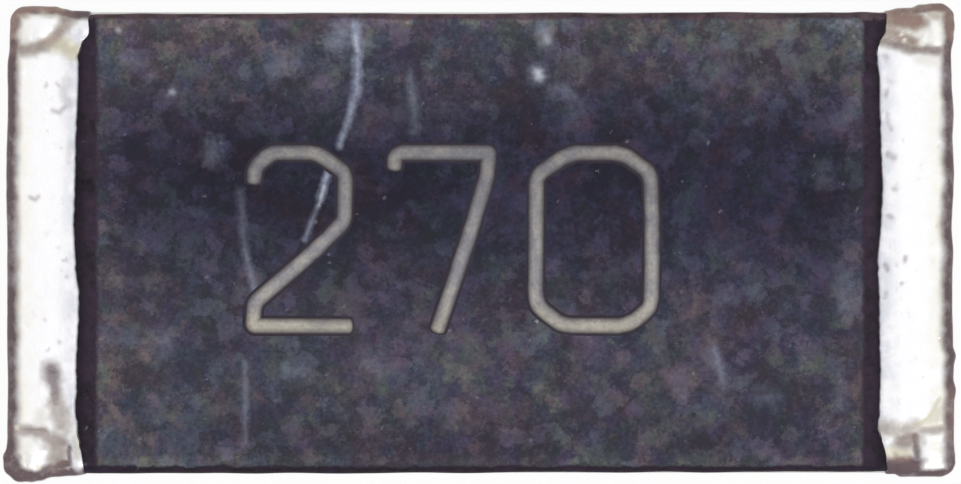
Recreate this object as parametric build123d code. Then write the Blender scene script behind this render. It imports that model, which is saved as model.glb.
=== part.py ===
"""Thick-film chip resistor in the 2512 case, 6.35 x 3.18 mm over its plated ends.

X runs along the length, Y across the width and Z up through the marked face. The origin is the centre
of the footprint, on the plane where the two solder pads rest. All sizes are in millimetres.

Layers, from the inside out: an alumina chip snapped from a scribed sheet, silver prints on both faces,
a trimmed resistive print, a glass print, a resin overcoat, and at each end three caps, one over the
other: the end electrode, the nickel barrier and the tin. Every cap is the one beneath it grown outward
by its own thickness, so all of them follow the chip's bevels and step up over the silver prints.
"""

import os
from math import sqrt

from build123d import *

# Alumina chip
ceramic_length = 6.27
ceramic_width = 3.10
ceramic_thickness = 0.50
scribe_bevel = 0.05  # flank that the snapped scribe groove leaves on every edge

# Silver prints on the chip's two faces
electrode_thickness = 0.014
electrode_width = 2.56
top_electrode_length = 0.78
bottom_electrode_length = 0.42

# Resistive print and the glass print over it
film_thickness = 0.012
film_width = 2.36
film_overlap = 0.16  # how far it runs onto each top electrode
glass_thickness = 0.010
glass_margin = 0.05  # how far the glass reaches past the film on every side
print_ramp = 0.03  # length over which a print climbs onto an electrode

# Laser trim: one plunge cut from the long side, then a leg along the current path
kerf_width = 0.05
trim_start_x = 0.70
trim_plunge = 1.10
trim_leg = 0.95

# Resin overcoat
overcoat_cover = 0.022  # resin above the highest glass
overcoat_foot = 0.012  # thickness of the thin edge that meets the tin
overcoat_slope = 0.14  # length of the sloping border along X
overcoat_shoulder = 0.045  # rounding of the two long edges
side_inset = 0.01  # resin and tin stop this far short of the chip's long sides

# End caps, from the inside out
end_electrode_thickness = 0.012
nickel_thickness = 0.010
tin_thickness = 0.018
end_top_wrap = 0.39  # reach of the end electrode over the marked face
end_bottom_wrap = 0.48  # over the underside
end_side_wrap = 0.30  # over the two long sides
tin_round = 0.10  # radius of the tin round the chip's edges

# Bead of tin down each upright corner of a cap
bead_radius = 0.18
bead_rise = 0.02  # how far a bead stands out of the end and side faces

# Levels and places that follow from the sizes above
cap_thickness = end_electrode_thickness + nickel_thickness + tin_thickness
ceramic_bottom = electrode_thickness + cap_thickness
ceramic_top = ceramic_bottom + ceramic_thickness
ceramic_middle = (ceramic_bottom + ceramic_top) / 2
end_x = ceramic_length / 2
print_end_x = end_x - scribe_bevel
electrode_inner_x = end_x - top_electrode_length
film_end_x = electrode_inner_x + film_overlap
glass_end_x = film_end_x + glass_margin
cap_inner_x = end_x - end_top_wrap - nickel_thickness - tin_thickness
covered_width = ceramic_width - 2 * side_inset
film_top = ceramic_top + electrode_thickness + film_thickness
glass_top = film_top + glass_thickness
overcoat_top = glass_top + overcoat_cover


def block(x_range, y_range, z_range):
    """Box between two limits along each axis."""
    ranges = (x_range, y_range, z_range)
    sizes = [high - low for low, high in ranges]
    centre = [(high + low) / 2 for low, high in ranges]
    return Pos(*centre) * Box(*sizes)


def centred(width):
    """Limits of something that lies evenly about zero."""
    return -width / 2, width / 2


def mirrored(part):
    """The same piece at the other end of the chip."""
    return mirror(part, about=Plane.YZ)


def pull_along_y(points, width):
    """Solid with an outline drawn on the XZ plane, reaching evenly to both sides of it."""
    outline = make_face(Polyline(*points, close=True).edges())
    return extrude(Plane.XZ * outline, amount=width / 2, both=True)


def ceramic_substrate():
    """Alumina chip with a scribe bevel along every edge."""
    z_range = (ceramic_bottom, ceramic_top)
    chip = block(centred(ceramic_length), centred(ceramic_width), z_range)
    return chamfer(chip.edges(), scribe_bevel)


def top_electrode():
    """Silver print on the marked face, at the right end."""
    z_range = (ceramic_top, ceramic_top + electrode_thickness)
    return block((electrode_inner_x, print_end_x), centred(electrode_width), z_range)


def bottom_electrode():
    """Silver print on the underside, at the right end."""
    z_range = (ceramic_bottom - electrode_thickness, ceramic_bottom)
    inner_x = end_x - bottom_electrode_length
    return block((inner_x, print_end_x), centred(electrode_width), z_range)


def printed_layer(reach_x, width, build_up):
    """Everything under a print's upper face: low between the electrodes, ramped up to lie over them."""
    low = ceramic_top + build_up
    high = low + electrode_thickness
    foot_x = electrode_inner_x - print_ramp
    right = [(foot_x, low), (electrode_inner_x, high), (reach_x, high), (reach_x, ceramic_top)]
    left = [(-x, z) for x, z in reversed(right)]
    return pull_along_y(right + left, width)


def laser_trim():
    """L-shaped kerf through the film and the glass."""
    edge_y = -film_width / 2
    corner = (trim_start_x, edge_y + trim_plunge)
    path = Polyline((trim_start_x, edge_y - 2 * glass_margin), corner, (corner[0] - trim_leg, corner[1]))
    cut = Plane.XY.offset(ceramic_top) * trace(path, kerf_width)
    return extrude(cut, amount=2 * (film_thickness + glass_thickness + electrode_thickness))


def resistive_film(electrodes):
    """Trimmed resistive print, lapped onto both top electrodes."""
    layer = printed_layer(film_end_x, film_width, film_thickness)
    return layer - electrodes - laser_trim()


def glass_undercoat(electrodes, film):
    """Glass over the film and past its edges, cut by the same trim."""
    width = film_width + 2 * glass_margin
    layer = printed_layer(glass_end_x, width, film_thickness + glass_thickness)
    return layer - electrodes - film - laser_trim()


def protective_overcoat(covered):
    """Resin over the whole marked face, thin where it meets the tin and lapped over the long bevels."""
    foot_top = ceramic_top + electrode_thickness + overcoat_foot
    base = ceramic_top - scribe_bevel
    crest_x = cap_inner_x - overcoat_slope
    right = [(crest_x, overcoat_top), (cap_inner_x, foot_top), (cap_inner_x, base)]
    left = [(-x, z) for x, z in reversed(right)]
    coat = pull_along_y(right + left, covered_width)
    crest = coat.faces().sort_by(Axis.Z)[-1]
    coat = fillet(crest.edges().filter_by(Axis.X), overcoat_shoulder)
    for piece in covered:
        coat -= piece
    return coat


def grown_bevel(bevel, growth):
    """Leg of a 45 degree bevel after every face around it has moved outward by growth."""
    return bevel + growth * (2 - sqrt(2))


def grown_end(growth, bend, bend_size):
    """Right half of the chip with its silver prints, grown outward by a film's thickness.

    The edges of the chip are bent by a fillet or a chamfer of bend_size. The prints' own long edges are
    sharp, so a film turns over them in a bevel of its own.
    """
    x_range = (0, end_x + growth)
    chip = block(
        x_range,
        centred(ceramic_width + 2 * growth),
        (ceramic_bottom - growth, ceramic_top + growth),
    )
    inner_face = chip.faces().sort_by(Axis.X)[0]
    chip = bend(chip.edges() - inner_face.edges(), bend_size)
    raised = block(
        x_range,
        centred(electrode_width + 2 * growth),
        (ceramic_bottom - electrode_thickness - growth, ceramic_top + electrode_thickness + growth),
    )
    outer_face = raised.faces().sort_by(Axis.X)[-1]
    raised = bend(outer_face.edges().filter_by(Axis.Y), bend_size)
    raised = chamfer(raised.edges().filter_by(Axis.X), grown_bevel(0, growth))
    return chip + raised


def wrap_region(lap):
    """Space that an end cap may fill; each cap laps over the edge of the one beneath by lap."""
    outer_x = end_x + 1
    whole = ceramic_width + 1
    above = (ceramic_top - scribe_bevel, ceramic_top + 1)
    below = (ceramic_bottom - 1, ceramic_bottom + scribe_bevel)
    top = block((end_x - end_top_wrap - lap, outer_x), centred(covered_width), above)
    bottom = block((end_x - end_bottom_wrap - lap, outer_x), centred(covered_width), below)
    sides = block((end_x - end_side_wrap - lap, outer_x), centred(whole), (below[0], above[1]))
    return sides + top + bottom


def bevelled_cap(growth, lap):
    """Everything inside the outer surface of an inner cap, which copies the chip's bevels."""
    return grown_end(growth, chamfer, grown_bevel(scribe_bevel, growth)) & wrap_region(lap)


def rounded_cap(growth, lap):
    """Everything inside the outer surface of the tin, which levels the bevels to a round edge."""
    return grown_end(growth, fillet, tin_round) & wrap_region(lap)


def corner_bead(side):
    """Bead of tin down one upright corner of the right cap, domed level with the solder pads."""
    x = end_x + cap_thickness + bead_rise - bead_radius
    y = ceramic_width / 2 + cap_thickness + bead_rise - bead_radius
    reach = ceramic_thickness / 2 + electrode_thickness + cap_thickness - bead_radius
    bead = Cylinder(bead_radius, 2 * reach)
    for end in (-reach, reach):
        bead += Pos(0, 0, end) * Sphere(bead_radius)
    return Pos(x, side * y, ceramic_middle) * bead


def end_caps(core):
    """End electrode, nickel barrier and tin plating of the right end, from the inside out."""
    end_electrode = bevelled_cap(end_electrode_thickness, 0)
    nickel = bevelled_cap(end_electrode_thickness + nickel_thickness, nickel_thickness)
    tin = rounded_cap(cap_thickness, nickel_thickness + tin_thickness)
    tin += corner_bead(-1) + corner_bead(1)
    for piece in core:
        end_electrode -= piece
        nickel -= piece
        tin -= piece
    tin -= nickel + end_electrode
    nickel -= end_electrode
    return end_electrode, nickel, tin


def build_parts():
    """All sub-parts by name, each in its place."""
    ceramic = ceramic_substrate()
    top_right = top_electrode()
    bottom_right = bottom_electrode()
    top_left = mirrored(top_right)
    electrodes = top_right + top_left
    film = resistive_film(electrodes)
    glass = glass_undercoat(electrodes, film)
    overcoat = protective_overcoat([ceramic, top_right, top_left, film, glass])
    end_right, nickel_right, tin_right = end_caps([ceramic, top_right, bottom_right])
    parts = {
        "ceramic_substrate": ceramic,
        "resistive_film": film,
        "glass_undercoat": glass,
        "protective_overcoat": overcoat,
    }
    one_end = {
        "top_electrode": top_right,
        "bottom_electrode": bottom_right,
        "end_electrode": end_right,
        "nickel_barrier": nickel_right,
        "tin_plating": tin_right,
    }
    for name, piece in one_end.items():
        parts[f"{name}_right"] = piece
        parts[f"{name}_left"] = mirrored(piece)
    return parts


os.makedirs("parts", exist_ok=True)
for name, part in build_parts().items():
    export_step(part, f"parts/{name}.step")
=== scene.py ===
"""Looks of a thick-film chip resistor: resin face, printed digits, lumpy tin ends, alumina chip.

Lengths are in millimetres, and turn into metres only where a piece or the camera is handed to Blender,
because the chip is 6 mm long and a layer of 10 micrometres is easier to read as 0.010.
"""

import logging
import math
from collections.abc import Callable, Iterable
from dataclasses import dataclass
from enum import Enum
from functools import cache, reduce

import bmesh
import bpy
from bpy.types import Material, Node, NodeSocket, NodeTree, Object
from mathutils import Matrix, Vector, noise


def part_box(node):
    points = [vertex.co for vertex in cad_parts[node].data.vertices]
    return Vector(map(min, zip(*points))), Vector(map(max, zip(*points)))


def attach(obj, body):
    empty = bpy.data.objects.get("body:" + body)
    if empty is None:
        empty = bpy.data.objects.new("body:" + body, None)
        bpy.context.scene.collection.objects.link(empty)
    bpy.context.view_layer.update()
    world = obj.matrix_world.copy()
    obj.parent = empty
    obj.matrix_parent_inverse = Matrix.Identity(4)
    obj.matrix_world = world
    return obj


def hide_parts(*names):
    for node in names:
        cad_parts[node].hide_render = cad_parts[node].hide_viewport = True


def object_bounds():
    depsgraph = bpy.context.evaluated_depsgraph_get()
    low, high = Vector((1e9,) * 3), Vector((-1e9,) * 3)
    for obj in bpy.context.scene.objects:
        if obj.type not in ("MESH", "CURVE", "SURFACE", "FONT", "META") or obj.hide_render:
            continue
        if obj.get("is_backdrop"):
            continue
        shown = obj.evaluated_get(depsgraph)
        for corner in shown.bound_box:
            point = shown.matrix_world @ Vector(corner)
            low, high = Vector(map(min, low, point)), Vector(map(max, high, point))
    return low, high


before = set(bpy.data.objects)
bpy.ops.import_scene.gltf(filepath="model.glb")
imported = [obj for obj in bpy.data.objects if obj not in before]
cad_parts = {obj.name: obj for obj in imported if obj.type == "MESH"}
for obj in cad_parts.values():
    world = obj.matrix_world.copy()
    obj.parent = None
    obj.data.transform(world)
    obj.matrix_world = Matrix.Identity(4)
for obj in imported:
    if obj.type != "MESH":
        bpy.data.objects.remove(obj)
CAD_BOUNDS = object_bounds()
MM = 0.001
SAME = 1e-5  # points closer than this are one point
HAIR = 1e-6  # differences smaller than this are none
FULLEST = 1.25  # highest stored value, so that a heavy stain stays whole under its finish's unevenness
BODY = "root"
log = logging.getLogger("chip resistor")

Point2 = tuple[float, float]
Path = tuple[Point2, ...]
Corner = tuple[float, float, float]  # place of a stroke's corner, and how far its bend reaches
Colour = tuple[float, float, float]


class End(Enum):
    """The two terminations, with the side of the chip each one is on."""

    LEFT = -1
    RIGHT = 1

    @property
    def word(self) -> str:
        """Word that the end's CAD nodes carry."""
        return self.name.lower()


def blend(low: float, high: float, value: float) -> float:
    """Smooth step from 0 at low to 1 at high.

    Args:
        low: Value that gives 0.
        high: Value that gives 1.
        value: Value to place between them.

    Returns:
        A number from 0 to 1.
    """
    t = min(max((value - low) / (high - low), 0.0), 1.0)
    return t * t * (3 - 2 * t)


def wander(point: Iterable[float], size: float) -> float:
    """Smooth unevenness from -1 to 1 whose swells are about one size across."""
    return noise.noise(Vector(point) / size)


def distance_to_path(x: float, y: float, path: Path) -> float:
    """Shortest way from a place on the face to a dot or a line of straight pieces.

    Args:
        x: Place along the chip.
        y: Place across the chip.
        path: One point, or several joined by straight lines.

    Returns:
        The distance in millimetres.
    """
    if len(path) == 1:
        return math.hypot(x - path[0][0], y - path[0][1])
    best = math.inf
    for (ax, ay), (bx, by) in zip(path, path[1:]):
        dx, dy = bx - ax, by - ay
        t = min(max(((x - ax) * dx + (y - ay) * dy) / (dx * dx + dy * dy), 0.0), 1.0)
        best = min(best, math.hypot(x - ax - t * dx, y - ay - t * dy))
    return best


def along(profile: Path, place: float) -> float:
    """Height of a smooth line through a few points, level beyond its ends.

    Args:
        profile: The points, each a place and the height there.
        place: Place whose height is wanted.

    Returns:
        The height.
    """
    if place <= profile[0][0]:
        return profile[0][1]
    for (p0, h0), (p1, h1) in zip(profile, profile[1:]):
        if place <= p1:
            return h0 + (h1 - h0) * blend(p0, p1, place)
    return profile[-1][1]


def eased_drop(inward: float, radius: float) -> float:
    """How far a rounded edge lies under its flat side.

    Args:
        inward: Distance in from the edge.
        radius: Radius of the rounding.

    Returns:
        The drop: the radius at the edge itself, 0 from one radius inward on.
    """
    if inward >= radius:
        return 0.0
    return radius - math.sqrt(max(radius**2 - (radius - inward) ** 2, 0.0))


def link(name: str, data: bpy.types.ID) -> Object:
    """New object of the scene.

    Args:
        name: Name of the object.
        data: Mesh, curve, lamp or camera that it shows.

    Returns:
        The object.
    """
    item = bpy.data.objects.new(name, data)
    bpy.context.scene.collection.objects.link(item)
    return item


@dataclass(frozen=True)
class Box:
    """Lowest and highest corner of a CAD node, in millimetres."""

    low: Vector
    high: Vector

    @classmethod
    def of(cls, node: str) -> "Box":
        """Box of one CAD node."""
        low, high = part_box(node)
        return cls(low / MM, high / MM)


class Workpiece:
    """A mesh being made in millimetres, which ends as one piece of the chip."""

    def __init__(self, name: str) -> None:
        """Starts an empty mesh that will carry this name."""
        self.name = name
        self.mesh = bmesh.new()

    def block(self, cuts: tuple[int, int, int]) -> None:
        """Fills the mesh with a cube from -1 to 1 whose faces are cut into a grid.

        Args:
            cuts: Number of cuts across each axis.
        """
        bmesh.ops.create_cube(self.mesh, size=2.0)
        for axis, count in enumerate(cuts):
            edges = [
                edge for edge in self.mesh.edges
                if abs(edge.verts[0].co[axis] - edge.verts[1].co[axis]) > HAIR
            ]
            bmesh.ops.subdivide_edges(self.mesh, edges=edges, cuts=count, use_grid_fill=True)

    def shape(self, move: Callable[[Vector], Vector]) -> None:
        """Moves every point to where the given function puts it."""
        for vert in self.mesh.verts:
            vert.co = move(vert.co.copy())
        self.mesh.normal_update()

    def swell(self, amount: Callable[[Vector, Vector], float]) -> None:
        """Moves every point along its own normal.

        Args:
            amount: Gives the way to move from a place and its normal.
        """
        self.mesh.normal_update()
        moves = [(vert, vert.normal * amount(vert.co, vert.normal)) for vert in self.mesh.verts]
        for vert, step in moves:
            vert.co += step
        self.mesh.normal_update()

    def mirror_if(self, end: End) -> None:
        """Turns a right-hand piece into the left-hand one where that is the end."""
        if end is End.LEFT:
            bmesh.ops.scale(self.mesh, vec=(-1, 1, 1), verts=self.mesh.verts)
            bmesh.ops.reverse_faces(self.mesh, faces=self.mesh.faces)

    def carve(self, nodes: Iterable[str], others: Iterable[Object] = ()) -> None:
        """Cuts away the room that other pieces take.

        Args:
            nodes: CAD nodes to cut away.
            others: Finished pieces to cut away.
        """
        sources = [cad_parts[node] for node in nodes] + list(others)
        blank = self._temporary(self.mesh, "blank")
        tools = []
        for source in sources:
            tool = bmesh.new()
            tool.from_mesh(source.data)
            bmesh.ops.scale(tool, vec=(1 / MM,) * 3, verts=tool.verts)
            bmesh.ops.remove_doubles(tool, verts=tool.verts, dist=SAME)
            tools.append(self._temporary(tool, f"cutter_{source.name}"))
            tool.free()
            cut = blank.modifiers.new("cut", "BOOLEAN")
            cut.operation = "DIFFERENCE"
            cut.solver = "MANIFOLD"
            cut.object = tools[-1]
        depsgraph = bpy.context.evaluated_depsgraph_get()
        result = bpy.data.meshes.new_from_object(blank.evaluated_get(depsgraph))
        self.mesh.clear()
        self.mesh.from_mesh(result)
        bpy.data.meshes.remove(result)
        for item in (blank, *tools):
            bpy.data.meshes.remove(item.data)
        bmesh.ops.remove_doubles(self.mesh, verts=self.mesh.verts, dist=SAME)
        self.mesh.normal_update()

    @staticmethod
    def _temporary(mesh: bmesh.types.BMesh, name: str) -> Object:
        """Object that holds a copy of a mesh while a cut is made.

        Args:
            mesh: Mesh to copy.
            name: Name of the object.

        Returns:
            The object.
        """
        data = bpy.data.meshes.new(name)
        mesh.to_mesh(data)
        return link(name, data)

    def paint(self, layer: str, strength: Callable[[Vector, Vector], float]) -> None:
        """Stores a value on every point, for a finish to read: 0 for none, 1 for full.

        Args:
            layer: Name of the stored values.
            strength: Gives the value from a place and its normal.
        """
        values = self.mesh.verts.layers.float.new(layer)
        for vert in self.mesh.verts:
            vert[values] = min(max(strength(vert.co, vert.normal), 0.0), FULLEST)

    def finish(
        self, material: Material, slot: str, stands_for: tuple[str, ...] = (), crease: float = 40.0
    ) -> Object:
        """Makes the piece, in metres, and ties it to the chip.

        Args:
            material: Finish of the whole piece.
            slot: Material slot of the record that the finish belongs to; not used.
            stands_for: CAD nodes that the piece replaces.
            crease: Angle in degrees past which an edge stays sharp.

        Returns:
            The finished object.
        """
        bmesh.ops.scale(self.mesh, vec=(MM,) * 3, verts=self.mesh.verts)
        data = bpy.data.meshes.new(self.name)
        self.mesh.to_mesh(data)
        self.mesh.free()
        data.shade_smooth()
        data.set_sharp_from_angle(angle=math.radians(crease))
        data.materials.clear()
        data.materials.append(material)
        piece = link(self.name, data)
        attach(piece, BODY)
        if stands_for:
            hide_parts(*stands_for)
        low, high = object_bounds()
        log.info("%s: %d faces, chip now %.3f mm long", self.name, len(data.polygons), (high - low).x / MM)
        return piece


Feed = NodeSocket | float | int | bool | str | tuple[float, ...]


class Bench:
    """Sets out and joins the nodes of one material or one group."""

    def __init__(self, tree: NodeTree) -> None:
        """Works on a node tree."""
        self.tree = tree

    def add(self, kind: str, feeds: dict[str | int, Feed] | None = None, **settings: object) -> Node:
        """Adds a node.

        Args:
            kind: Node type, without the leading ShaderNode.
            feeds: What goes into its sockets, a value or another node's output.
            **settings: Options of the node itself.

        Returns:
            The new node.
        """
        made = self.tree.nodes.new(f"ShaderNode{kind}")
        for name, value in settings.items():
            setattr(made, name, value)
        for socket, value in (feeds or {}).items():
            self.join(value, made.inputs[socket])
        return made

    def join(self, value: Feed, socket: NodeSocket) -> None:
        """Links an output into a socket, or writes a plain value there.

        Args:
            value: The output or the value.
            socket: Socket that takes it.
        """
        if isinstance(value, NodeSocket):
            self.tree.links.new(value, socket)
        else:
            socket.default_value = value

    def maths(self, operation: str, *values: Feed, clamp: bool = False) -> NodeSocket:
        """Result of one operation on numbers."""
        return self.add("Math", dict(enumerate(values)), operation=operation, use_clamp=clamp).outputs[0]

    def total(self, *values: Feed) -> NodeSocket:
        """Sum of several numbers."""
        return reduce(lambda result, value: self.maths("ADD", result, value), values)

    def product(self, *values: Feed) -> NodeSocket:
        """Product of several numbers."""
        return reduce(lambda result, value: self.maths("MULTIPLY", result, value), values)

    def swing(self, value: Feed, amount: Feed) -> NodeSocket:
        """How far a number from 0 to 1 lies above its middle, times an amount."""
        return self.product(self.maths("SUBTRACT", value, 0.5), amount)

    def fade(self, distance: Feed, reach: Feed) -> NodeSocket:
        """Fall from 1 at no distance to 0 at the given reach."""
        return self.maths("SUBTRACT", 1.0, self.maths("DIVIDE", distance, reach), clamp=True)

    def vectors(self, operation: str, first: Feed, second: Feed) -> NodeSocket:
        """Result of one operation on two places, directions or colours."""
        made = self.add("VectorMath", {0: first, 1: second}, operation=operation)
        return made.outputs["Value" if operation in ("DOT_PRODUCT", "DISTANCE") else "Vector"]

    def scaled(self, vector: Feed, amount: Feed) -> NodeSocket:
        """A place, direction or colour times one number."""
        return self.add("VectorMath", {0: vector, "Scale": amount}, operation="SCALE").outputs["Vector"]

    def step(
        self, value: Feed, low: float, high: float, start: Feed = 0.0, stop: Feed = 1.0
    ) -> NodeSocket:
        """Smooth change from start to stop while a value goes from low to high."""
        feeds = {"Value": value, "From Min": low, "From Max": high, "To Min": start, "To Max": stop}
        return self.add("MapRange", feeds, interpolation_type="SMOOTHSTEP").outputs["Result"]

    def mix(self, share: Feed, first: Feed, second: Feed, kind: str = "MIX") -> NodeSocket:
        """Colour made of two colours.

        Args:
            share: How much of the second goes in, from 0 to 1.
            first: First colour.
            second: Second colour.
            kind: How the two are combined.

        Returns:
            The colour.
        """
        made = self.add("Mix", data_type="RGBA", blend_type=kind)
        for socket, value in ((0, share), (6, first), (7, second)):
            if isinstance(value, tuple):
                value = (*value, 1.0)
            self.join(value, made.inputs[socket])
        return made.outputs[2]

    def place(self) -> NodeSocket:
        """Place on the chip, in millimetres."""
        return self.scaled(self.add("TexCoord").outputs["Object"], 1 / MM)

    def parts(self, place: Feed) -> tuple[NodeSocket, ...]:
        """X, Y and Z of a place."""
        return tuple(self.add("SeparateXYZ", {0: place}).outputs)

    def unevenness(
        self, place: Feed, size: float, detail: float = 2.0, roughness: float = 0.5, shift: float = 0.0
    ) -> NodeSocket:
        """Cloudy pattern from 0 to 1.

        Args:
            place: Where the pattern is read, in millimetres.
            size: Width of its largest clouds.
            detail: How many finer patterns are laid over it.
            roughness: How strong the finer patterns are.
            shift: Sets two patterns of one size apart.

        Returns:
            The pattern's value.
        """
        feeds = {"Vector": place, "W": shift, "Scale": 1 / size, "Detail": detail, "Roughness": roughness}
        return self.add("TexNoise", feeds, noise_dimensions="4D").outputs["Fac"]

    def group(self, tree: NodeTree, feeds: dict[str, Feed]) -> bpy.types.NodeOutputs:
        """Places a shared effect with its own values and hands over its outputs."""
        return self.add("Group", feeds, node_tree=tree).outputs


class Effects:
    """Surface effects that several finishes share, each built once as a node group."""

    @staticmethod
    def _start(
        name: str, vectors: Iterable[str], numbers: Iterable[str]
    ) -> tuple[Bench, dict[str, NodeSocket]]:
        """Opens a new group.

        Args:
            name: Name of the group.
            vectors: Names of the places that it takes.
            numbers: Names of the numbers that it takes.

        Returns:
            The bench and what the group is given, by name.
        """
        tree = bpy.data.node_groups.new(name, "ShaderNodeTree")
        takes = {item: "Vector" for item in vectors} | {item: "Float" for item in numbers}
        for socket, kind in takes.items():
            tree.interface.new_socket(socket, in_out="INPUT", socket_type=f"NodeSocket{kind}")
        entry = tree.nodes.new("NodeGroupInput")
        return Bench(tree), {socket: entry.outputs[socket] for socket in takes}

    @staticmethod
    def _give(bench: Bench, results: dict[str, NodeSocket]) -> NodeTree:
        """Closes a group.

        Args:
            bench: Bench of the group.
            results: What the group hands out, by name.

        Returns:
            The group.
        """
        for socket in results:
            bench.tree.interface.new_socket(socket, in_out="OUTPUT", socket_type="NodeSocketFloat")
        outlet = bench.tree.nodes.new("NodeGroupOutput")
        for socket, value in results.items():
            bench.join(value, outlet.inputs[socket])
        return bench.tree

    @staticmethod
    @cache
    def specks() -> NodeTree:
        """Sparse small dots at random places: filler grains, dust and pits.

        Returns:
            The group.
        """
        bench, given = Effects._start("specks", ("Place",), ("Per mm", "Share", "Radius"))
        feeds = {"Vector": given["Place"], "Scale": given["Per mm"], "Randomness": 0.9}
        cells = bench.add("TexVoronoi", feeds).outputs
        chance, size, _ = bench.parts(cells["Color"])
        present = bench.maths("LESS_THAN", chance, given["Share"])
        reach = bench.product(given["Radius"], bench.step(size, 0.0, 1.0, 0.5, 1.0), given["Per mm"])
        dot = bench.step(bench.fade(cells["Distance"], reach), 0.0, 0.6)
        return Effects._give(bench, {"Mask": bench.product(present, dot)})

    @staticmethod
    @cache
    def scuff() -> NodeTree:
        """One straight rub mark between two places, ragged along its edges.

        Returns:
            The group.
        """
        bench, given = Effects._start("scuff", ("Place", "Start", "Stop"), ("Width", "Ragged"))
        reach = bench.vectors("SUBTRACT", given["Place"], given["Start"])
        line = bench.vectors("SUBTRACT", given["Stop"], given["Start"])
        lean, whole = (bench.vectors("DOT_PRODUCT", side, line) for side in (reach, line))
        foot = bench.scaled(line, bench.maths("DIVIDE", lean, whole, clamp=True))
        ragged = bench.swing(bench.unevenness(given["Place"], 0.05, 3.0, 0.6), given["Ragged"])
        gap = bench.total(bench.vectors("DISTANCE", reach, foot), bench.product(ragged, given["Width"]))
        fall = bench.maths("POWER", bench.fade(gap, given["Width"]), 1.4)
        worn = bench.product(bench.unevenness(given["Place"], 0.035, 2.0, 0.6, 11.0), 0.9)
        mask = bench.product(fall, bench.total(worn, 0.55))
        return Effects._give(bench, {"Mask": bench.maths("MINIMUM", mask, 1.0)})

    @staticmethod
    @cache
    def blotches() -> NodeTree:
        """Ragged soft patches side by side, each with its own lightness, hue and tint.

        Returns:
            The group.
        """
        bench, given = Effects._start("blotches", ("Place",), ("Size",))
        per_mm = bench.maths("DIVIDE", 1.0, given["Size"])
        place, scale = given["Place"], bench.product(per_mm, 1.2)
        feeds = {"Vector": place, "Scale": scale, "Detail": 6.0, "Roughness": 0.8}
        drift = bench.vectors("SUBTRACT", bench.add("TexNoise", feeds).outputs["Color"], (0.5, 0.5, 0.5))
        moved = bench.vectors("ADD", place, bench.scaled(drift, bench.product(given["Size"], 2.6)))
        feeds = {"Vector": moved, "Scale": per_mm, "Smoothness": 0.65}
        cells = bench.add("TexVoronoi", feeds, feature="SMOOTH_F1")
        light, hue, tint = bench.parts(cells.outputs["Color"])
        return Effects._give(bench, {"Light": bench.step(light, 0.40, 0.88), "Hue": hue, "Tint": tint})

    @staticmethod
    @cache
    def grain() -> NodeTree:
        """Even grain of a fired or plated surface, as a height and as a light and dark value.

        Returns:
            The group.
        """
        bench, given = Effects._start("grain", ("Place",), ("Size", "Contrast"))
        per_mm = bench.maths("DIVIDE", 1.0, given["Size"])
        layers = []
        for scale, rough, weight in ((per_mm, 0.6, 0.6), (bench.product(per_mm, 0.16), 0.55, 0.4)):
            feeds = {"Vector": given["Place"], "Scale": scale, "Detail": 3.0, "Roughness": rough}
            layers.append(bench.product(bench.add("TexNoise", feeds).outputs["Fac"], weight))
        mixed = bench.total(*layers)
        tone = bench.total(bench.swing(mixed, given["Contrast"]), 1.0)
        return Effects._give(bench, {"Height": mixed, "Tone": tone})

    @staticmethod
    def dots(bench: Bench, place: Feed, per_mm: float, share: float, radius: float) -> NodeSocket:
        """Mask of sparse dots on a surface.

        Args:
            bench: Bench of the material.
            place: Where the pattern is read.
            per_mm: Cells in a millimetre, each of which may hold a dot.
            share: Share of the cells that hold one.
            radius: Radius of the largest dots, in millimetres.

        Returns:
            The mask, 1 in the dots.
        """
        feeds = {"Place": place, "Per mm": per_mm, "Share": share, "Radius": radius}
        return bench.group(Effects.specks(), feeds)["Mask"]


@dataclass(frozen=True)
class Finish:
    """What every finish has: a name, a gloss and how metallic it is."""

    name: str
    roughness: float = 0.5
    specular: float = 0.5
    metallic: float = 0.0

    def open(self) -> tuple[Material, Bench, Node]:
        """New material with its shader in place.

        Returns:
            The material, its bench and the shader.
        """
        material = bpy.data.materials.new(self.name)
        material.use_nodes = True
        shader = material.node_tree.nodes["Principled BSDF"]
        shader.inputs["Roughness"].default_value = self.roughness
        shader.inputs["Specular IOR Level"].default_value = self.specular
        shader.inputs["Metallic"].default_value = self.metallic
        return material, Bench(material.node_tree), shader

    def gloss(self, bench: Bench, pattern: Feed, swing: float) -> NodeSocket:
        """Roughness that follows a pattern, by the same amount to both sides of the finish's own."""
        return bench.step(pattern, 0.3, 0.7, self.roughness - swing, self.roughness + swing)

    @staticmethod
    def wire(bench: Bench, shader: Node, colour: Feed, gloss: Feed, height: Feed, depth: float) -> None:
        """Gives the shader its colour, its roughness and its relief.

        Args:
            bench: Bench of the material.
            shader: Shader that gets them.
            colour: Colour of the surface.
            gloss: Roughness of the surface.
            height: Pattern of the relief, from 0 to 1.
            depth: Real height of that pattern in millimetres.
        """
        bump = bench.add("Bump", {"Height": height, "Distance": depth * MM})
        bench.join(colour, shader.inputs["Base Color"])
        bench.join(gloss, shader.inputs["Roughness"])
        bench.join(bump.outputs["Normal"], shader.inputs["Normal"])


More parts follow.
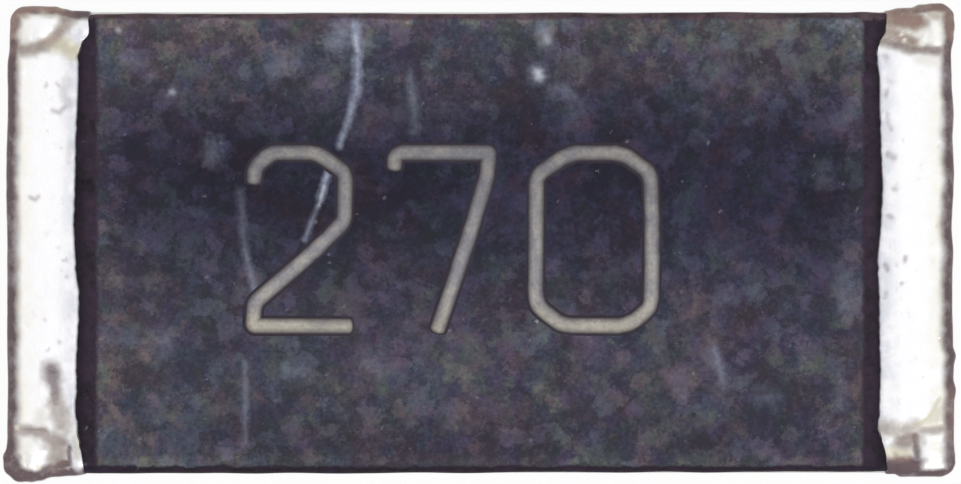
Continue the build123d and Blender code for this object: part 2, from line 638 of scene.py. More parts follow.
@dataclass(frozen=True)
class PlainLayer(Finish):
    """Hidden printed or plated layer: one colour with the grain of its process."""

    colour: Colour = (0.5, 0.5, 0.5)
    tint: Colour = (0.5, 0.5, 0.5)
    grain: float = 0.02
    depth: float = 0.002
    contrast: float = 0.6

    def build(self) -> Material:
        """Makes the material.

        Returns:
            The material.
        """
        material, bench, shader = self.open()
        place = bench.place()
        grain = bench.group(Effects.grain(), {"Place": place, "Size": self.grain, "Contrast": self.contrast})
        cloud = bench.step(bench.unevenness(place, 0.6, 3.0), 0.35, 0.65)
        colour = bench.scaled(bench.mix(cloud, self.colour, self.tint), grain["Tone"])
        gloss = self.gloss(bench, grain["Height"], 0.08)
        self.wire(bench, shader, colour, gloss, grain["Height"], self.depth)
        return material


@dataclass(frozen=True)
class Alumina(Finish):
    """Fired white alumina: fine grain on its faces, torn grain where it was snapped."""

    white: Colour = (0.80, 0.79, 0.74)
    grey: Colour = (0.66, 0.65, 0.61)
    speck: Colour = (0.42, 0.40, 0.36)
    scribe: float = 0.05
    torn_roughness: float = 0.85

    def build(self, chip: Box) -> Material:
        """Makes the material.

        Args:
            chip: Box of the alumina chip, to tell its snapped sides from its faces.

        Returns:
            The material.
        """
        material, bench, shader = self.open()
        place = bench.place()
        _, y, z = bench.parts(place)
        grain = bench.group(Effects.grain(), {"Place": place, "Size": 0.012, "Contrast": 0.35})
        middle, flank = (chip.low.z + chip.high.z) / 2, (chip.high.z - chip.low.z) / 2 - self.scribe
        upright = bench.maths("ABSOLUTE", bench.maths("SUBTRACT", z, middle))
        on_side = bench.step(bench.maths("ABSOLUTE", y), chip.high.y - 0.012, chip.high.y - 0.004)
        torn = bench.product(on_side, bench.step(upright, flank - 0.02, flank + 0.01, 1.0, 0.0))
        tears = bench.unevenness(place, 0.09, 5.0, 0.62, 3.0)
        cloud = bench.unevenness(place, 0.5, 4.0, 0.6, 7.0)
        colour = bench.mix(bench.step(cloud, 0.35, 0.7), self.white, self.grey)
        colour = bench.mix(bench.product(torn, bench.step(tears, 0.35, 0.6, 0.75, 0.0)), colour, self.grey)
        specks = Effects.dots(bench, place, 6.0, 0.12, 0.022)
        colour = bench.mix(bench.product(specks, 0.5), colour, self.speck)
        colour = bench.scaled(colour, grain["Tone"])
        gloss = bench.step(torn, 0.0, 1.0, self.roughness, self.torn_roughness)
        height = bench.total(bench.product(tears, torn, 5.0), grain["Height"])
        self.wire(bench, shader, colour, gloss, height, 0.004)
        return material


@dataclass(frozen=True)
class Scuff:
    """Rub mark on the resin, between places given along and across the chip."""

    start: Point2
    stop: Point2
    width: float
    strength: float = 0.5
    ragged: float = 1.0


@dataclass(frozen=True)
class OvercoatResin(Finish):
    """Dark cured resin: cloudy navy, purple and green greys, darker borders, dust and rub marks."""

    navy: Colour = (0.0160, 0.0150, 0.0300)
    purple: Colour = (0.0220, 0.0145, 0.0255)
    green: Colour = (0.0145, 0.0180, 0.0255)
    warm_veil: Colour = (0.41, 0.320, 0.450)
    cool_veil: Colour = (0.330, 0.368, 0.450)
    yellow_tint: Colour = (1.04, 1.04, 0.830)
    blue_tint: Colour = (0.965, 0.985, 1.120)
    thin_bloom: Colour = (1.0, 1.0, 1.115)
    thick_bloom: Colour = (1.0, 1.01, 0.83)
    # Painted shade on the steep end slopes
    slope: Colour = (0.025, 0.016, 0.028)
    # Painted shade along the rounded long edges, lighter on the upper side than the lower
    upper_edge_shade: Colour = (0.066, 0.043, 0.053)
    lower_edge_shade: Colour = (0.016, 0.010, 0.019)
    rubbed: Colour = (0.31, 0.34, 0.45)
    dust: Colour = (0.55, 0.58, 0.62)
    dark_band_y: float = 0.42
    slope_length: float = 0.14
    scuffs: tuple[Scuff, ...] = ()
    nicks: tuple[Scuff, ...] = ()

    def build(self, coat: Box) -> Material:
        """Makes the material.

        Args:
            coat: Box of the overcoat, which places its borders.

        Returns:
            The material.
        """
        material, bench, shader = self.open()
        place = bench.place()
        x, y, _ = bench.parts(place)
        broad = bench.unevenness(place, 0.75, 5.0, 0.66, 1.0)
        patch = bench.unevenness(place, 0.13, 4.0, 0.70, 2.0)
        fine = bench.unevenness(place, 0.026, 2.0, 0.6, 3.0)
        wavy = bench.swing(patch, 0.09)
        from_end, from_side = (
            bench.maths("SUBTRACT", reach, bench.total(bench.maths("ABSOLUTE", axis), wavy))
            for reach, axis in ((coat.high.x, x), (coat.high.y, y))
        )
        uneven = bench.total(y, bench.swing(broad, 0.9))
        off_band = bench.maths("ABSOLUTE", bench.maths("SUBTRACT", uneven, self.dark_band_y))
        haze_and_sheen = bench.total(
            bench.step(off_band, 0.0, 1.25, 0.004, 0.105),  # grows away from the dark band
            bench.step(y, 0.65, 1.45, 0.0, 0.045),  # and towards the upper side, as painted sheen
            bench.step(y, -1.45, -1.00, -0.022, 0.0),  # is thinner near the lower side
            bench.step(from_end, self.slope_length, self.slope_length + 0.25, 0.050, 0.0),  # by the slopes
            bench.step(from_side, 0.04, 0.17, 0.055, 0.0),  # along both long sides, as painted sheen where the coat rounds over
            bench.step(x, -2.4, -1.6, 0.024, 0.0),  # near the left end
        )
        colour = self._clouded(bench, place, haze_and_sheen, (broad, patch, fine))
        streak = bench.total(bench.swing(patch, 4.2), fine, 0.55)
        # Painted shade on the steep end slopes of the print, darkest next to the tin
        shade = bench.product(streak, bench.step(from_end, 0.015, 0.09, 0.55, 1.05))
        slope_shading = bench.step(from_end, self.slope_length - 0.015, self.slope_length + 0.025, 1.0, 0.0)
        colour = bench.mix(slope_shading, colour, bench.scaled(self.slope, shade))
        # Painted shade along the rounded long edges, lighter on the upper side than the lower
        edge = bench.mix(bench.step(y, -0.1, 0.1), self.lower_edge_shade, self.upper_edge_shade)
        edge_shading = bench.step(from_side, 0.026, 0.050, 1.0, 0.0)
        colour = bench.mix(edge_shading, colour, bench.scaled(edge, streak))
        patchy = bench.step(patch, 0.3, 0.55, 0.55, 1.0)
        rubbed = bench.product(self._scuffed(bench, place, self.scuffs), patchy)
        colour = bench.mix(rubbed, colour, self.rubbed)
        colour = bench.mix(self._scuffed(bench, place, self.nicks), colour, self.dust)
        strewn = bench.vectors("ADD", place, bench.product(fine, 0.06))
        grains = bench.product(Effects.dots(bench, strewn, 11.0, 0.30, 0.018), fine, 0.22)
        flecks = bench.product(Effects.dots(bench, strewn, 2.6, 0.16, 0.020), fine, 0.8)
        colour = bench.mix(bench.maths("MAXIMUM", grains, flecks), colour, self.dust)
        height = bench.total(bench.product(fine, 0.6), patch)
        self.wire(bench, shader, colour, self.gloss(bench, patch, 0.1), height, 0.006)
        return material

    def _clouded(
        self, bench: Bench, place: Feed, haze_and_sheen: Feed, patterns: tuple[Feed, Feed, Feed]
    ) -> NodeSocket:
        """Colour of the open face: dark resin under a pale, patchy veil, thicker as painted sheen near the
        long sides.

        Args:
            bench: Bench of the material.
            place: Place on the chip.
            haze_and_sheen: How thick the veil is, with painted sheen towards the upper side and the rounded
                long sides.
            patterns: Broad, middling and fine unevenness of the face.

        Returns:
            The colour.
        """
        broad, patch, fine = patterns
        hue = bench.unevenness(place, 0.22, 4.0, 0.65, 4.0)
        colour = bench.mix(bench.step(hue, 0.38, 0.50), self.purple, self.navy)
        colour = bench.mix(bench.step(hue, 0.52, 0.62), colour, self.green)
        large, small = (
            bench.group(Effects.blotches(), {"Place": place, "Size": size}) for size in (0.24, 0.105)
        )
        speckle = bench.unevenness(place, 0.045, 3.0, 0.65, 12.0)
        mottle = bench.unevenness(place, 0.075, 4.0, 0.70, 13.0)
        warmth, tint = (
            bench.total(
                bench.product(large[name], 0.30), bench.product(small[name], 0.35), bench.product(grain, 0.35)
            )
            for name, grain in (("Hue", speckle), ("Tint", mottle))
        )
        veil = bench.mix(bench.step(warmth, 0.40, 0.58), self.warm_veil, self.cool_veil)
        tint = bench.mix(bench.step(tint, 0.38, 0.60), self.yellow_tint, self.blue_tint)
        veil = bench.mix(1.0, veil, tint, "MULTIPLY")
        # The veil, thicker as painted sheen near the upper side and the long sides
        colour = bench.mix(bench.maths("MAXIMUM", haze_and_sheen, 0.0), colour, veil)
        tone = bench.total(
            bench.swing(broad, 2.0),
            bench.product(large["Light"], 0.50),
            bench.product(small["Light"], 0.70),
            bench.swing(patch, 2.0),
            bench.swing(mottle, 1.2),
            bench.swing(fine, 1.7),
            0.73,
        )
        colour = bench.scaled(colour, bench.maths("SMOOTH_MAX", tone, 0.55, 0.5))
        lightness = bench.add("RGBToBW", {"Color": colour}).outputs["Val"]
        bloom = bench.mix(bench.step(lightness, 0.020, 0.110), self.thin_bloom, self.thick_bloom)
        return bench.mix(1.0, colour, bloom, "MULTIPLY")

    @staticmethod
    def _scuffed(bench: Bench, place: Feed, scuffs: tuple[Scuff, ...]) -> Feed:
        """How strongly any of the marks shows, by its place as seen from above, whatever the slope.

        Args:
            bench: Bench of the material.
            place: Place on the chip.
            scuffs: The marks.

        Returns:
            The strength of the strongest, from 0 to 1.
        """
        flat = bench.vectors("MULTIPLY", place, (1.0, 1.0, 0.0))
        strongest: Feed = 0.0
        for scuff in scuffs:
            feeds = {
                "Place": flat,
                "Start": (*scuff.start, 0.0),
                "Stop": (*scuff.stop, 0.0),
                "Width": scuff.width,
                "Ragged": scuff.ragged,
            }
            mark = bench.group(Effects.scuff(), feeds)["Mask"]
            strongest = bench.maths("MAXIMUM", strongest, bench.product(mark, scuff.strength))
        return strongest


@dataclass(frozen=True)
class MarkingInk(Finish):
    """Pale printed ink: warm and cool grey, thin along the foot of each stroke, which is darkened as painted
    shade.
    """

    cool: Colour = (0.258, 0.252, 0.278)
    warm: Colour = (0.405, 0.375, 0.325)
    # Painted shade along the low foot of each stroke
    foot: Colour = (0.020, 0.013, 0.023)

    def build(self, surface: float, rise: float) -> Material:
        """Makes the material.

        Args:
            surface: Level of the resin under the ink.
            rise: Height of the ink above it.

        Returns:
            The material.
        """
        material, bench, shader = self.open()
        place = bench.place()
        _, y, z = bench.parts(place)
        cloud = bench.unevenness(place, 0.14, 4.0, 0.62, 5.0)
        fine = bench.unevenness(place, 0.022, 2.0, 0.6, 6.0)
        low_down = bench.step(y, -0.62, -0.35, 0.85, 0.0)
        warmth = bench.maths("ADD", bench.step(cloud, 0.4, 0.65, 0.0, 0.6), low_down, clamp=True)
        tone = bench.total(bench.swing(cloud, 0.65), bench.swing(fine, 0.7), 1.0)
        tone = bench.product(tone, bench.step(y, -0.15, 0.60, 0.97, 0.72))
        colour = bench.scaled(bench.mix(warmth, self.cool, self.warm), tone)
        # Painted shade: the ink turns to the foot colour where it lies low, round the foot of each stroke
        depth = {"Value": z, "From Min": surface + 0.25 * rise, "From Max": surface + 0.90 * rise}
        colour = bench.mix(bench.add("MapRange", depth).outputs["Result"], self.foot, colour)
        self.wire(bench, shader, colour, self.gloss(bench, cloud, 0.08), bench.total(fine, cloud), 0.002)
        return material


@dataclass(frozen=True)
class Tin(Finish):
    """Matte plated tin: near white, cream by the ends, brown-grey where tarnished and as painted shade, with
    painted highlights.
    """

    white: Colour = (0.81, 0.80, 0.815)
    cool: Colour = (0.60, 0.61, 0.66)
    # Cream tint by the ends, also used by the marks as painted highlight
    cream_and_highlight: Colour = (0.70, 0.69, 0.54)
    # Brown-grey of real tarnish, also used as painted shade on slopes, rounded edges and creases
    tarnish_and_shade: Colour = (0.130, 0.091, 0.100)
    warm_tarnish_and_shade: Colour = (0.29, 0.20, 0.175)
    tarnished_and_shaded_roughness: float = 0.62
    tarnished_and_shaded_metallic: float = 0.55

    def build(self, cap: Box) -> Material:
        """Makes the material.

        Args:
            cap: Box of the right-hand cap, which places its cooler and its warmer strip.

        Returns:
            The material.
        """
        material, bench, shader = self.open()
        place = bench.place()
        out = bench.maths("ABSOLUTE", bench.parts(place)[0])
        brown, yellow = (
            bench.add("Attribute", attribute_name=layer).outputs["Fac"] for layer in ("tarnish_and_shade", "cream_and_highlight")
        )
        cloud = bench.unevenness(place, 0.12, 4.0, 0.62, 8.0)
        fine = bench.unevenness(place, 0.02, 3.0, 0.6, 9.0)
        grain = bench.group(Effects.grain(), {"Place": place, "Size": 0.011, "Contrast": 0.10})
        inner = bench.step(out, cap.low.x + 0.09, cap.low.x + 0.23, 0.95, 0.0)
        cold = bench.product(inner, bench.step(cloud, 0.36, 0.60, 0.25, 1.0))
        outer = bench.step(out, cap.high.x - 0.24, cap.high.x - 0.10, 0.0, 0.45)
        warm = bench.maths("MAXIMUM", bench.product(outer, bench.step(cloud, 0.3, 0.6)), yellow)
        # Warm cream: the tin's tint by the ends, and painted highlight where the marks put it
        colour = bench.mix(warm, bench.mix(cold, self.white, self.cool), self.cream_and_highlight)
        # The stored value is tarnish plus painted shade on steep faces, rounded edges and creases; pits and
        # spots are real blemishes
        ragged = bench.total(bench.swing(cloud, 1.0), bench.swing(fine, 0.25))
        aged_and_shaded = bench.maths("ADD", brown, bench.product(ragged, brown), clamp=True)
        pits = Effects.dots(bench, bench.vectors("ADD", place, bench.product(cloud, 0.09)), 8.0, 0.22, 0.035)
        spots = bench.step(bench.unevenness(place, 0.075, 2.0, 0.6, 14.0), 0.60, 0.74, 0.0, 0.16)
        spots = bench.product(spots, bench.step(out, cap.low.x + 0.16, cap.low.x + 0.36, 1.0, 0.35))
        for blemish in (bench.product(pits, fine, 0.45), spots):
            aged_and_shaded = bench.maths("MAXIMUM", aged_and_shaded, blemish)
        # Brown-grey of tarnish and painted shade, warmer where the cream is
        colour = bench.mix(aged_and_shaded, colour, bench.mix(yellow, self.tarnish_and_shade, self.warm_tarnish_and_shade))
        colour = bench.scaled(colour, grain["Tone"])
        gloss = bench.step(aged_and_shaded, 0.0, 1.0, self.roughness, self.tarnished_and_shaded_roughness)
        metal = bench.step(aged_and_shaded, 0.0, 1.0, self.metallic, self.tarnished_and_shaded_metallic)
        bench.join(metal, shader.inputs["Metallic"])
        height = bench.total(cloud, bench.product(fine, 0.35), bench.product(pits, -0.5))
        self.wire(bench, shader, colour, gloss, height, 0.004)
        return material


@dataclass(frozen=True)
class Mark:
    """One pass over the tin of a right-hand cap: it raises or sinks it, adds tarnish with painted shade, or
    clears it to a painted highlight.

    The path is measured along and across the chip, and the radius is where the pass fades out.
    """

    path: Path
    radius: float
    rise: float = 0.0
    # Above 0 it lays tarnish with painted shade in a crease; below 0 it clears the tin to a painted highlight
    tarnish_and_shade: float = 0.0
    # Cream tint, partly painted highlight on lumps and beside creases
    cream_and_highlight: float = 0.0
    upright: bool = False  # works down the whole height of the cap, not on its upper side only
    lowest: float = 0.45  # level of the upper side's lower limit

    def reach(self, place: Vector, normal: Vector) -> float:
        """How strongly the pass acts on a place.

        Args:
            place: Place on a right-hand cap.
            normal: Direction that the surface faces there.

        Returns:
            The strength from 0 to 1.
        """
        if not self.upright and (normal.z < 0.15 or place.z < self.lowest):
            return 0.0
        margin = 1.4 * self.radius
        spans = zip(zip(*self.path), place)
        if not all(min(line) - margin < value < max(line) + margin for line, value in spans):
            return 0.0
        gap = distance_to_path(place.x, place.y, self.path)
        gap *= 1 + 0.35 * wander((place.x, place.y, 3.7), 0.045)
        share = 1 - blend(0.15 * self.radius, self.radius, gap)
        return share * (1 - blend(0.5, 0.95, abs(normal.z))) if self.upright else share


@dataclass(frozen=True)
class TinCap:
    """Tin plating over one end of the chip, with its step over the silver print and its lumps.

    The plating is made as a right-hand cap and turned over for the left end. Its room inside is cut by
    the layers it lies on, so that it fits them as the real plating does.
    """

    end: End
    marks: tuple[Mark, ...]
    inner_edge: Path  # (place across, place along) of the edge that meets the resin
    end_swell: Path  # (place across, how far the end face stands out)
    lower_side: Path  # (place along, half width) of the side nearer the digits' feet
    upper_side: Path  # the same on the other long side
    side_reach: float = 2.80
    side_band: float = 0.012  # how far inside the chip's long sides the side wrap begins
    scribe: float = 0.05  # height of the chip's bevels, where the wraps over both faces begin
    raggedness: float = 0.006  # how far the wraps' inner edges wander
    deep: float = 0.3  # how far the mesh reaches into the chip, where it is cut away
    round_edge: float = 0.10
    inner_round: float = 0.022
    bead_rise: float = 0.02
    swell_fade: float = 0.2  # how far in from the end face its swells fade out
    print_edge: float = 1.315  # half width of the silver print that the plating steps up over
    step_width: float = 0.05
    step_drop: float = 0.014
    end_strip: Point2 = (0.034, 0.120)  # where the tarnish and painted shade along the rounded end face starts to fade, and ends
    side_strip: Point2 = (0.040, 0.080)  # the same along the long sides
    cuts: tuple[int, int, int] = (35, 207, 37)

    def build(self, material: Material, coat: Object) -> Object:
        """Makes the cap.

        Args:
            material: Finish of the tin.
            coat: Finished overcoat, which the tin meets.

        Returns:
            The finished cap.
        """
        word = self.end.word
        name = f"tin_plating_{word}"
        box = Box.of(f"tin_plating_{End.RIGHT.word}")
        chip = Box.of("ceramic_substrate")
        piece = Workpiece(f"{name}_skin")
        piece.block(self.cuts)
        piece.shape(lambda place: self._wrapped(place, box, chip))
        piece.swell(self._relief)
        piece.shape(lambda place: Vector((place.x, place.y, max(place.z, 0.0))))
        piece.mirror_if(self.end)
        layers = ("top_electrode", "bottom_electrode", "end_electrode", "nickel_barrier")
        piece.carve(["ceramic_substrate", *(f"{layer}_{word}" for layer in layers)], [coat])
        end_x = box.high.x - self.bead_rise
        piece.paint("tarnish_and_shade", lambda place, normal: self._tarnish_and_shade(place, normal, end_x))
        piece.paint("cream_and_highlight", self._cream_and_highlight)
        return piece.finish(material, "tin", (name,))

    def _wrapped(self, unit: Vector, box: Box, chip: Box) -> Vector:
        """Place on the cap of a point on the unit cube.

        Args:
            unit: Point on the cube from -1 to 1.
            box: Box of the cap with its beads.
            chip: Box of the alumina chip.

        Returns:
            The point in millimetres.
        """
        end_x = box.high.x - self.bead_rise
        half_width = box.high.y - self.bead_rise
        y = unit.y * half_width
        z = (unit.z + 1) / 2 * box.high.z
        inner = self._inner(y, z, box, chip)
        x = inner + (unit.x + 1) / 2 * (end_x - inner)
        corner = Vector((
            min(x, end_x - self.round_edge),
            min(max(y, self.round_edge - half_width), half_width - self.round_edge),
            min(max(z, self.round_edge), box.high.z - self.round_edge),
        ))
        off = Vector((x, y, z)) - corner
        if off.length > self.round_edge:
            off *= self.round_edge / off.length
        x, y, z = corner + off
        x += along(self.end_swell, y) * blend(end_x - self.swell_fade, end_x, x)
        y *= self._half_width(x, y) / half_width
        step_start, step_stop = self.print_edge - self.step_width, self.print_edge + self.step_width
        lower = self.step_drop * blend(step_start, step_stop, abs(y))
        middle = box.high.z / 2
        z = middle + (z - middle) * (1 - lower / middle)
        if z > middle + 0.15:
            z -= eased_drop(x - inner, self.inner_round)
        return Vector((x, y, z))

    def _half_width(self, x: float, y: float) -> float:
        """Half width of the cap at one place along, on the long side that y is nearer."""
        return along(self.upper_side if y > 0 else self.lower_side, x)

    def _inner(self, y: float, z: float, box: Box, chip: Box) -> float:
        """Where the cap ends towards the middle of the chip.

        Args:
            y: Place across.
            z: Level.
            box: Box of the cap with its beads.
            chip: Box of the alumina chip.

        Returns:
            The place along.
        """
        drawn_in = y * self._half_width(box.low.x, y) / (box.high.y - self.bead_rise)
        over_resin = along(self.inner_edge, drawn_in)
        if abs(y) > chip.high.y - self.side_band:
            share = z / box.high.z
            over, under = blend(0.55, 0.90, share), blend(0.45, 0.10, share)
            reach = self.side_reach + 0.02 * wander((y, z, 1.0), 0.12) * (1 - over)
            return reach + (over_resin - reach) * over + (box.low.x - reach) * under
        if z > chip.high.z - self.scribe:
            return over_resin + self.raggedness * wander((y, 0.0, 2.0), 0.05)
        if z < chip.low.z + self.scribe:
            return box.low.x + self.raggedness * wander((y, 0.0, 3.0), 0.12)
        return chip.high.x - self.deep

    def _relief(self, place: Vector, normal: Vector) -> float:
        """How far the plating stands out of its even form.

        Args:
            place: Place on a right-hand cap.
            normal: Direction that the surface faces there.

        Returns:
            The distance in millimetres.
        """
        level = 0.0035 * wander(place, 0.35) + 0.0015 * wander(place, 0.09)
        level *= blend(0.0, 0.08, place.z) if normal.z < -0.5 else 1.0
        return level + sum(mark.rise * mark.reach(place, normal) for mark in self.marks if mark.rise)

    @staticmethod
    def _own(place: Vector) -> Vector:
        """The same place on a right-hand cap."""
        return Vector((abs(place.x), place.y, place.z))

    def _tarnish_and_shade(self, place: Vector, normal: Vector, end_x: float) -> float:
        """Tarnish and painted shade at one place: a strip round the outer edges, shade on steep faces, then
        what the marks add or clear.

        Args:
            place: Place on the cap.
            normal: Direction that the surface faces there.
            end_x: Where the end face stands.

        Returns:
            The tarnish and painted shade, from 0 to 1.
        """
        own = self._own(place)
        uneven = 0.016 * wander(own, 0.12) + 0.004 * wander(own, 0.04)
        from_end = end_x + along(self.end_swell, own.y) - own.x + uneven
        from_side = self._half_width(own.x, own.y) - abs(own.y) + uneven
        strip = max(1 - blend(*self.end_strip, from_end), 1 - blend(*self.side_strip, from_side))
        # Steep faces take a middling value whatever the strip: painted shade on the cap's upright sides
        upright = 0.30 + 0.22 * wander(own, 0.12) + 0.25 * wander(own, 0.03)
        value = strip + (upright - strip) * (1 - blend(0.10, 0.45, abs(normal.z)))
        # Positive marks add tarnish and painted shade in creases; negative marks clear it for painted
        # highlights on lumps
        for mark in self.marks:
            if mark.tarnish_and_shade > 0:
                value = max(value, mark.tarnish_and_shade * mark.reach(own, normal))
            elif mark.tarnish_and_shade < 0:
                value *= 1 + mark.tarnish_and_shade * mark.reach(own, normal)
        return value

    def _cream_and_highlight(self, place: Vector, normal: Vector) -> float:
        """Cream tint and painted highlight at one place, from the marks alone."""
        own = self._own(place)
        return max((mark.cream_and_highlight * mark.reach(own, normal) for mark in self.marks if mark.cream_and_highlight), default=0.0)


@dataclass(frozen=True)
class Overcoat:
    """Resin print over the marked face, with wandering borders and a soft crest."""

    ends: dict[End, Path]  # (place across, place along) of the edge under the tin
    foot: float = 0.012
    slope: float = 0.14
    shoulder: float = 0.045
    skew: float = 0.0022  # how far the print leans across the chip for each millimetre along it
    upper_lap: float = 0.002  # how far it laps past the nominal long side, nearer the digits' tops
    lower_lap: float = 0.008  # the same nearer their feet
    raggedness: float = 0.008  # how far its long sides wander
    tucked: float = 0.012  # how far it runs on under the tin
    thinnest: float = 0.004
    cuts: tuple[int, int, int] = (219, 129, 1)

    def build(self, material: Material) -> Object:
        """Makes the overcoat.

        Args:
            material: Finish of the resin.

        Returns:
            The finished overcoat.
        """
        box = Box.of("protective_overcoat")
        foot_level = Box.of("top_electrode_right").high.z + self.foot
        piece = Workpiece("overcoat_skin")
        piece.block(self.cuts)
        piece.shape(lambda place: self._printed(place, box, foot_level))
        electrodes = (f"top_electrode_{end.word}" for end in End)
        piece.carve(["ceramic_substrate", "glass_undercoat", "resistive_film", *electrodes])
        return piece.finish(material, "overcoat_resin", ("protective_overcoat",))

    def _printed(self, unit: Vector, box: Box, foot_level: float) -> Vector:
        """Place on the overcoat of a point on the unit cube.

        Args:
            unit: Point on the cube from -1 to 1.
            box: Box of the overcoat.
            foot_level: Level of its thin ends.

        Returns:
            The point in millimetres.
        """
        closer_x, closer_y = (1.3 * value - 0.3 * value**3 for value in (unit.x, unit.y))
        y_side = box.high.y + (self.upper_lap if unit.y > 0 else self.lower_lap)
        y_side += self.raggedness * wander((unit.x * 2.7, math.copysign(5.0, unit.y), 0.0), 0.3)
        y = closer_y * y_side
        end = End.RIGHT if unit.x > 0 else End.LEFT
        reach = along(self.ends[end], y) + self.tucked
        x = closer_x * reach
        leant = y + self.skew * x
        if abs(unit.z + 1) < HAIR:
            return Vector((x, leant, box.low.z))
        rise = math.sin(math.pi / 2 * min(max((reach - abs(x)) / self.slope, 0.0), 1.0))
        z = foot_level + (box.high.z - foot_level) * rise
        z += 0.0012 * wander((x, y, 0.0), 0.5) * rise
        z -= eased_drop(y_side - abs(y), self.shoulder)
        return Vector((x, leant, max(z, box.low.z + self.thinnest)))


@dataclass(frozen=True)
class Digit:
    """One printed numeral, drawn as a stroke through points about its own middle."""

    name: str
    middle_x: float
    points: tuple[Corner, ...]
    closed: bool = False


@dataclass(frozen=True)
class Marking:
    """The printed value: three plain numerals, each a low domed stroke of ink."""

    digits: tuple[Digit, ...]
    middle_y: float = 0.02
    stroke: float = 0.140  # with the thin foot on both sides, darkened by the ink's finish as painted shade
    rise: float = 0.010
    sunk: float = 0.003  # how far the ink reaches into the resin, so that no gap shows
    roundness: int = 7  # cuts across a quarter of the stroke
    bend_steps: int = 8
    # How far in from a stroke's end, and the share of the full width there
    tip: tuple[Point2, ...] = ((0.0, 0.35), (0.006, 0.68), (0.016, 0.88), (0.030, 0.97))

    def build(self, material: Material) -> list[Object]:
        """Makes every numeral."""
        surface = Box.of("protective_overcoat").high.z
        return [self._digit(digit, surface, material) for digit in self.digits]

    def _digit(self, digit: Digit, surface: float, material: Material) -> Object:
        """Makes one numeral.

        Args:
            digit: Its name, place and stroke.
            surface: Level of the resin.
            material: Finish of the ink.

        Returns:
            The finished numeral.
        """
        curve = bpy.data.curves.new(digit.name, "CURVE")
        curve.dimensions = "3D"
        curve.bevel_depth = self.stroke / 2
        curve.bevel_resolution = self.roundness
        curve.use_fill_caps = not digit.closed
        path = self._rounded(digit.points, digit.closed)
        line = curve.splines.new("POLY")
        line.points.add(len(path) - 1)
        for point, (x, y) in zip(line.points, path):
            point.co = (x + digit.middle_x, y + self.middle_y, 0.0, 1.0)
        line.use_cyclic_u = digit.closed
        if not digit.closed:
            for index, (_, share) in enumerate(self.tip):
                line.points[index].radius = share
                line.points[-1 - index].radius = share
        rod = link(digit.name, curve)
        data = bpy.data.meshes.new_from_object(rod.evaluated_get(bpy.context.evaluated_depsgraph_get()))
        bpy.data.curves.remove(curve)
        piece = Workpiece(f"marking_{digit.name}")
        piece.mesh.from_mesh(data)
        bpy.data.meshes.remove(data)
        bmesh.ops.remove_doubles(piece.mesh, verts=piece.mesh.verts, dist=SAME)
        piece.shape(lambda place: Vector((place.x, place.y, surface + self._dome(place.z))))
        everything = [*piece.mesh.verts, *piece.mesh.edges, *piece.mesh.faces]
        cut = bmesh.ops.bisect_plane(
            piece.mesh,
            geom=everything,
            dist=HAIR,
            plane_co=(0, 0, surface - self.sunk),
            plane_no=(0, 0, -1),
            clear_outer=True,
        )
        rim = [item for item in cut["geom_cut"] if isinstance(item, bmesh.types.BMEdge)]
        bmesh.ops.holes_fill(piece.mesh, edges=rim)
        bmesh.ops.recalc_face_normals(piece.mesh, faces=piece.mesh.faces)
        piece.swell(lambda place, normal: 0.0012 * wander(place, 0.06) * max(normal.z, 0.0))
        return piece.finish(material, "marking_ink")

    def _dome(self, level: float) -> float:
        """Height of the ink over the resin for a point of the round rod it is pressed from."""
        return self.rise * min(max(level / (self.stroke / 2), 0.0), 1.0) ** 3

    def _rounded(self, points: tuple[Corner, ...], closed: bool) -> list[Point2]:
        """Stroke with its corners eased and its ends drawn in.

        Args:
            points: Corners of the stroke, each with how far its bend reaches.
            closed: Whether it runs back into its start.

        Returns:
            More points along the same stroke.
        """
        count = len(points)
        path: list[Point2] = []
        for index, (*place, bend) in enumerate(points):
            here = Vector(place)
            before, after = Vector(points[index - 1][:2]), Vector(points[(index + 1) % count][:2])
            if not closed and index in (0, count - 1):
                inward = ((after if index == 0 else before) - here).normalized()
                ends = [tuple(here + inward * step) for step, _ in self.tip]
                path += ends if index == 0 else ends[::-1]
                continue
            legs = (before - here, after - here)
            ease = min(bend, *(leg.length * 0.47 for leg in legs))
            start, stop = (here + leg.normalized() * ease for leg in legs)
            for step in range(self.bend_steps + 1):
                t = step / self.bend_steps
                path.append(tuple(start * (1 - t) ** 2 + here * 2 * t * (1 - t) + stop * t**2))
        return path


@dataclass(frozen=True)
class Lamp:
    """Soft distant lamp."""

    name: str
    strength: float  # its light on a surface that faces it
    softness: float  # width of the lamp in the sky, in degrees
    turn: tuple[float, float, float]  # tilt from straight above, in degrees

    def build(self) -> None:
        """Hangs the lamp."""
        data = bpy.data.lights.new(self.name, "SUN")
        data.energy = self.strength
        data.angle = math.radians(self.softness)
        link(self.name, data).rotation_euler = tuple(math.radians(angle) for angle in self.turn)


